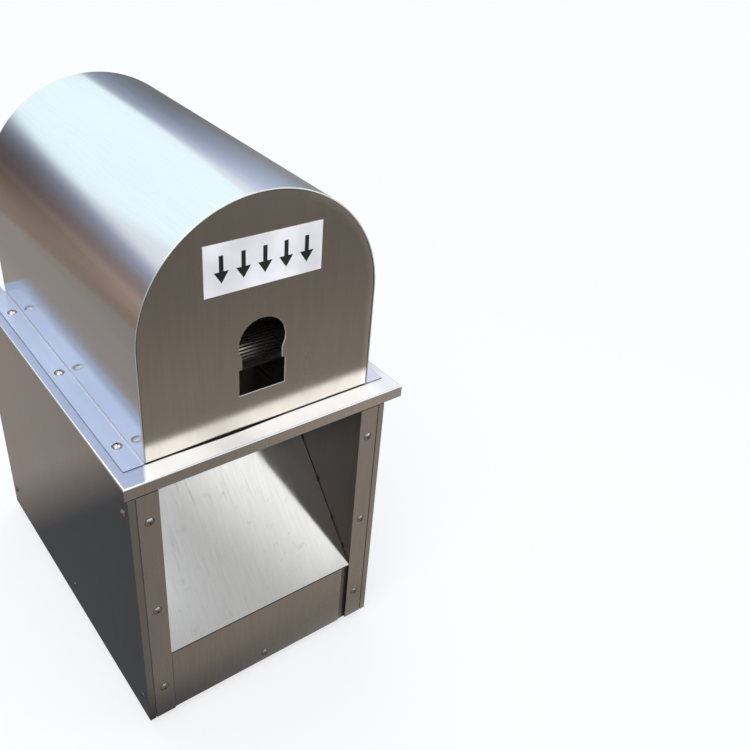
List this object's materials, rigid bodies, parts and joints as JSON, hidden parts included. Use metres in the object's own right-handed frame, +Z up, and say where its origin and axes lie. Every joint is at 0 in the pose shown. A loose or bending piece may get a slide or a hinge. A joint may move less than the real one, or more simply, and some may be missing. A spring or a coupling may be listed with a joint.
{
  "type": "sugarcane peeling machine",
  "caption": "Table-top cane peeler: stainless cabinet with a sloping peel chute under an arched hood, sprung feed rollers, a ring of sprung knives and a belt drive.",
  "frame": {"origin": "on the ground plane, under the middle of the table top", "axes": "+Z up, +X to the right of someone who stands at the inlet, +Y from the inlet to the outlet, so the front with the inlet and the peel chute faces -Y"},
  "size_m": [0.372, 0.5024, 0.6907],
  "materials": {
    "polished_stainless": "polished stainless sheet",
    "satin_stainless": "satin stainless sheet",
    "dark_stainless": "polished stainless sheet",
    "chute_stainless": "stainless sheet with wear marks",
    "sign_white": "white printed plate",
    "zinc_steel": "zinc plated steel",
    "screw_steel": "stainless screw",
    "plate_steel": "machined stainless plate",
    "bronze": "cast bronze",
    "roller_steel": "turned and fluted stainless",
    "pin_steel": "ground steel",
    "spring_steel": "drawn spring wire",
    "knife_steel": "ground knife steel",
    "black_steel": "black painted steel",
    "pulley_iron": "turned cast iron",
    "belt_rubber": "V-belt rubber",
    "foot_rubber": "moulded rubber",
    "motor_grey": "grey enamel on cast metal",
    "fan_black": "black moulding",
    "gear_steel": "hobbed and oiled steel",
    "switch_black": "black moulding",
    "button_green": "green push button",
    "button_red": "red push button"
  },
  "bodies": {
    "machine": {"top_plate": "polished_stainless", "hood_shell": "polished_stainless", "hood_front_plate": "satin_stainless", "hood_rear_plate": "satin_stainless", "front_post_left": "satin_stainless", "front_post_right": "satin_stainless", "front_lower_panel": "satin_stainless", "chute_cheek_left": "satin_stainless", "chute_cheek_right": "satin_stainless", "left_side_panel": "dark_stainless", "right_side_panel": "dark_stainless", "rear_panel": "dark_stainless", "chute_sheet": "chute_stainless", "inlet_sign": "sign_white", "bottom_tray": "zinc_steel", "corner_angle_front_left": "zinc_steel", "corner_angle_front_right": "zinc_steel", "corner_angle_rear_left": "zinc_steel", "corner_angle_rear_right": "zinc_steel", "frame_bolts": "zinc_steel", "hood_screws": "screw_steel", "front_screws": "screw_steel", "panel_screws": "screw_steel", "bearing_plate_left": "plate_steel", "bearing_plate_right": "plate_steel", "knife_ring": "plate_steel", "roller_bushes": "bronze", "arm_pivot_pins": "pin_steel", "knife_pins": "pin_steel", "front_arm_springs": "spring_steel", "rear_arm_springs": "spring_steel", "knife_springs": "spring_steel", "drive_belt": "belt_rubber", "roller_belt": "belt_rubber", "feet": "foot_rubber", "motor_housing": "motor_grey", "gearbox_housing": "motor_grey", "motor_fan_cover": "fan_black", "switch_box": "switch_black", "cable_gland": "switch_black"},
    "rear_feed_roller": {"lower_rear_roller": "roller_steel", "rear_pulley": "pulley_iron"},
    "front_feed_roller": {"lower_front_roller": "roller_steel", "front_pulley": "pulley_iron"},
    "output_drive": {"output_shaft": "pin_steel", "output_gear": "gear_steel", "motor_pulley": "pulley_iron"},
    "motor_rotor": {"motor_shaft": "pin_steel", "motor_fan": "fan_black"},
    "front_arm": {"upper_front_arm": "black_steel"},
    "rear_arm": {"upper_rear_arm": "black_steel"},
    "front_pressure_roller": {"upper_front_roller": "roller_steel"},
    "rear_pressure_roller": {"upper_rear_roller": "roller_steel"},
    "knife_1": {"knife_1": "knife_steel"},
    "knife_2": {"knife_2": "knife_steel"},
    "knife_3": {"knife_3": "knife_steel"},
    "knife_4": {"knife_4": "knife_steel"},
    "start_button": {"start_button": "button_green"},
    "stop_button": {"stop_button": "button_red"}
  },
  "joints": [
    {"name": "rear_feed_spin", "type": "hinge", "parent": "machine", "child": "rear_feed_roller", "pos_m": [-0.002, 0.03825, 0.468], "axis": [1, 0, 0], "continuous": true},
    {"name": "front_feed_spin", "type": "hinge", "parent": "machine", "child": "front_feed_roller", "pos_m": [-0.002, -0.15775, 0.468], "axis": [1, 0, 0], "continuous": true},
    {"name": "output_spin", "type": "hinge", "parent": "machine", "child": "output_drive", "pos_m": [-0.002, 0.12, 0.143], "axis": [1, 0, 0], "continuous": true},
    {"name": "motor_spin", "type": "hinge", "parent": "machine", "child": "motor_rotor", "pos_m": [-0.002, 0.12, 0.08], "axis": [1, 0, 0], "continuous": true},
    {"name": "front_arm_lift", "type": "hinge", "parent": "machine", "child": "front_arm", "pos_m": [-0.002, -0.07275, 0.585], "axis": [-1, 0, 0], "range_deg": [0, 22], "stiffness_Nm_per_rad": 30, "springref_deg": -17.19, "deforming": ["front_arm_springs"]},
    {"name": "rear_arm_lift", "type": "hinge", "parent": "machine", "child": "rear_arm", "pos_m": [-0.002, -0.04675, 0.585], "axis": [1, 0, 0], "range_deg": [0, 22], "stiffness_Nm_per_rad": 30, "springref_deg": -17.19, "deforming": ["rear_arm_springs"]},
    {"name": "front_pressure_spin", "type": "hinge", "parent": "front_arm", "child": "front_pressure_roller", "pos_m": [-0.002, -0.15775, 0.54], "axis": [1, 0, 0], "continuous": true},
    {"name": "rear_pressure_spin", "type": "hinge", "parent": "rear_arm", "child": "rear_pressure_roller", "pos_m": [-0.002, 0.03825, 0.54], "axis": [1, 0, 0], "continuous": true},
    {"name": "knife_1_swing", "type": "hinge", "parent": "machine", "child": "knife_1", "pos_m": [0.03477, -0.03775, 0.54377], "axis": [0.7071, 0, -0.7071], "range_deg": [0, 26], "stiffness_Nm_per_rad": 2, "springref_deg": -22.92, "deforming": ["knife_springs"]},
    {"name": "knife_2_swing", "type": "hinge", "parent": "machine", "child": "knife_2", "pos_m": [0.03477, -0.03775, 0.47023], "axis": [-0.7071, 0, -0.7071], "range_deg": [0, 26], "stiffness_Nm_per_rad": 2, "springref_deg": -22.92, "deforming": ["knife_springs"]},
    {"name": "knife_3_swing", "type": "hinge", "parent": "machine", "child": "knife_3", "pos_m": [-0.03877, -0.03775, 0.47023], "axis": [-0.7071, 0, 0.7071], "range_deg": [0, 26], "stiffness_Nm_per_rad": 2, "springref_deg": -22.92, "deforming": ["knife_springs"]},
    {"name": "knife_4_swing", "type": "hinge", "parent": "machine", "child": "knife_4", "pos_m": [-0.03877, -0.03775, 0.54377], "axis": [0.7071, 0, 0.7071], "range_deg": [0, 26], "stiffness_Nm_per_rad": 2, "springref_deg": -22.92, "deforming": ["knife_springs"]},
    {"name": "start_push", "type": "slide", "parent": "machine", "child": "start_button", "axis": [-1, 0, 0], "range_m": [0, 0.003], "stiffness_N_per_m": 800, "springref_m": -0.002},
    {"name": "stop_push", "type": "slide", "parent": "machine", "child": "stop_button", "axis": [-1, 0, 0], "range_m": [0, 0.003], "stiffness_N_per_m": 800, "springref_m": -0.002}
  ],
  "couplings": [
    {"joint": "front_feed_spin", "follows": "rear_feed_spin", "ratio": 1},
    {"joint": "output_spin", "follows": "rear_feed_spin", "ratio": 1.6},
    {"joint": "motor_spin", "follows": "rear_feed_spin", "ratio": -9.6}
  ]
}
